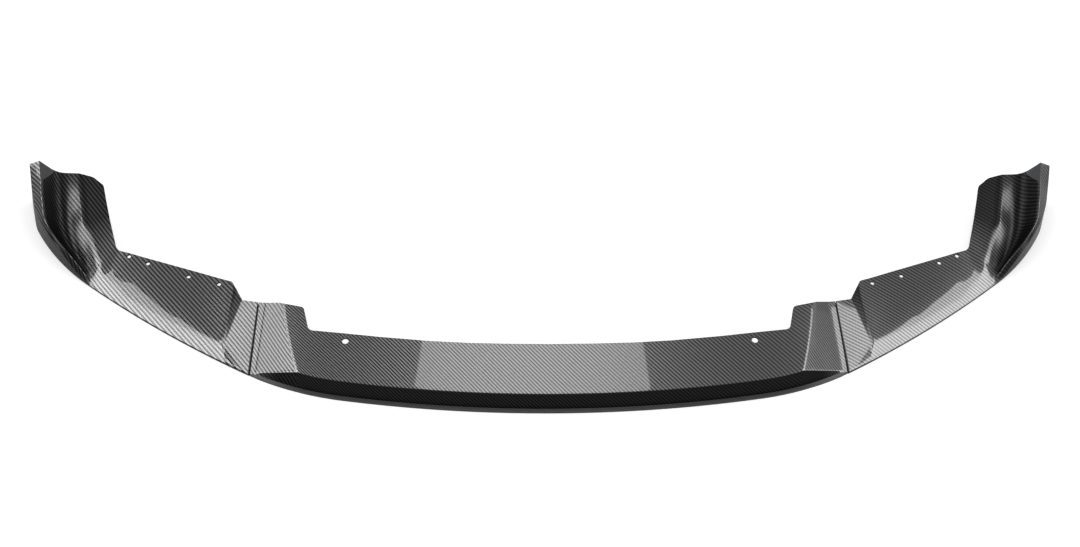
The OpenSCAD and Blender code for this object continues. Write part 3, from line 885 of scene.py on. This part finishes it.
# %% Floor
PAPER_LIFT = 0.62
ground = bpy.data.meshes.new("floor")
ground.from_pydata([(-9, -9, 0), (9, -9, 0), (9, 9, 0), (-9, 9, 0)], [], [(0, 1, 2, 3)])
floor = bpy.data.objects.new("floor", ground)
bpy.context.scene.collection.objects.link(floor)
pale, tree = new_material("white seamless paper")
paper = add(tree, "ShaderNodeBsdfDiffuse", {"Color": srgb("#cccccc")})
lifted = add(tree, "ShaderNodeMath", {0: seen(tree), 1: PAPER_LIFT}, operation="MULTIPLY")
lift = add(tree, "ShaderNodeEmission", {"Color": srgb("#ffffff"), "Strength": lifted})
surface = add(tree, "ShaderNodeAddShader", {0: paper, 1: lift})
add(tree, "ShaderNodeOutputMaterial", {"Surface": surface})
ground.materials.append(pale)
print("floor:", pale.name)

# %% World
LIGHT_LEVEL, SEEN_LEVEL = 0.5, 1.0
world = bpy.data.worlds.new("studio")
bpy.context.scene.world = world
world.use_nodes = True
world.node_tree.nodes.clear()
tree = world.node_tree
strength = add(tree, "ShaderNodeMix", {0: seen(tree), 2: LIGHT_LEVEL, 3: SEEN_LEVEL})
sky = add(tree, "ShaderNodeBackground", {"Color": srgb("#ffffff"), "Strength": strength})
add(tree, "ShaderNodeOutputWorld", {"Surface": sky})
print("world:", world.name)

# %% [markdown]
# Softboxes. The one above lights the panels and the floor. The others are only seen in the gloss, where
# their mirror images make the bright plate, front slopes, seam facets and turned-down ends. Each stands
# where the camera's ray goes after it bounces off that surface.

# %% Softboxes


def softbox(name, low, high, turn, radiance, gloss_only=True):
    """Flat lamp between two corners in metres. turn is its angle about Y: 0 faces down, -90 to the right and
    90 to the left."""
    low, high = Vector(low), Vector(high)
    span = high - low
    light = bpy.data.lights.new(name, "AREA")
    light.shape, light.size, light.size_y = "RECTANGLE", span.z if turn else span.x, span.y
    light.energy = radiance * math.pi * light.size * light.size_y
    o = bpy.data.objects.new(name, light)
    o.location, o.rotation_euler = (low + high) / 2, (0, math.radians(turn), 0)
    o.visible_camera, o.visible_diffuse, o.visible_glossy = False, not gloss_only, gloss_only
    bpy.context.scene.collection.objects.link(o)


softbox("above", (-1.0, -0.6, 3.0), (1.0, 1.4, 3.0), 0, 2.8, False)
softbox("plate", (-0.268, -0.2, 1.0), (0.280, 0.6, 1.0), 0, 5.8)
softbox("facet_left", (-0.575, -0.22, 0.2), (-0.475, 0.06, 0.2), 0, 6.6)
softbox("facet_right", (0.495, -0.22, 0.2), (0.6, 0.035, 0.2), 0, 7.8)
softbox("slope_left", (-2.4, -1.1, 0.95), (-2.4, 0.2, 3.4), -90, 10.5)
softbox("slope_left_near_seam", (-2.4, -1.1, 1.3), (-2.4, -0.3, 2.9), -90, 4.0)
softbox("slope_left_rear", (-2.4, 0.2, 2.0), (-2.4, 0.8, 3.5), -90, 7.0)
softbox("slope_right", (2.4, -1.1, 0.85), (2.4, 0.12, 2.9), 90, 11.5)
softbox("slope_right_near_seam", (2.4, -1.0, 1.2), (2.4, -0.3, 2.4), 90, 4.0)
softbox("slope_right_rear", (2.4, 0.12, 1.5), (2.4, 0.62, 2.78), 90, 8.5)
softbox("end_left", (-2.4, 0.45, 0.5), (-2.4, 1.3, 2.0), -90, 5.0)
softbox("end_right", (2.4, 0.6, 0.5), (2.4, 1.3, 2.5), 90, 0.5)

# %% [markdown]
# The camera stands 50 degrees up and 4 degrees to the left, and it is rolled by about 3 degrees. The lens
# and the shift come from matching the lip's outline with the photo.

# %% Camera
ROLL, LENS, AWAY = math.radians(3.182), 61.66, 3.2
SHIFT_X, SHIFT_Y = -0.00489, -0.03978
back = Vector((-0.04656, -0.6411, 0.7660)).normalized()
level = (-back).cross(Vector((0, 0, 1))).normalized()
rise = level.cross(-back)
axis_x = math.cos(ROLL) * level + math.sin(ROLL) * rise
axis_y = -math.sin(ROLL) * level + math.cos(ROLL) * rise
camera = bpy.data.objects.new("camera", bpy.data.cameras.new("camera"))
camera.data.lens, camera.data.sensor_width = LENS, 36
camera.data.shift_x, camera.data.shift_y = SHIFT_X, SHIFT_Y
spot = Vector((0, 0.1577, 0)) + back * AWAY
camera.matrix_world = Matrix([[axis_x[i], axis_y[i], back[i], spot[i]] for i in range(3)] + [[0, 0, 0, 1]])
bpy.context.scene.collection.objects.link(camera)
bpy.context.scene.camera = camera
bpy.context.scene.view_settings.view_transform = "Standard"
print("camera at", tuple(round(c, 3) for c in spot))
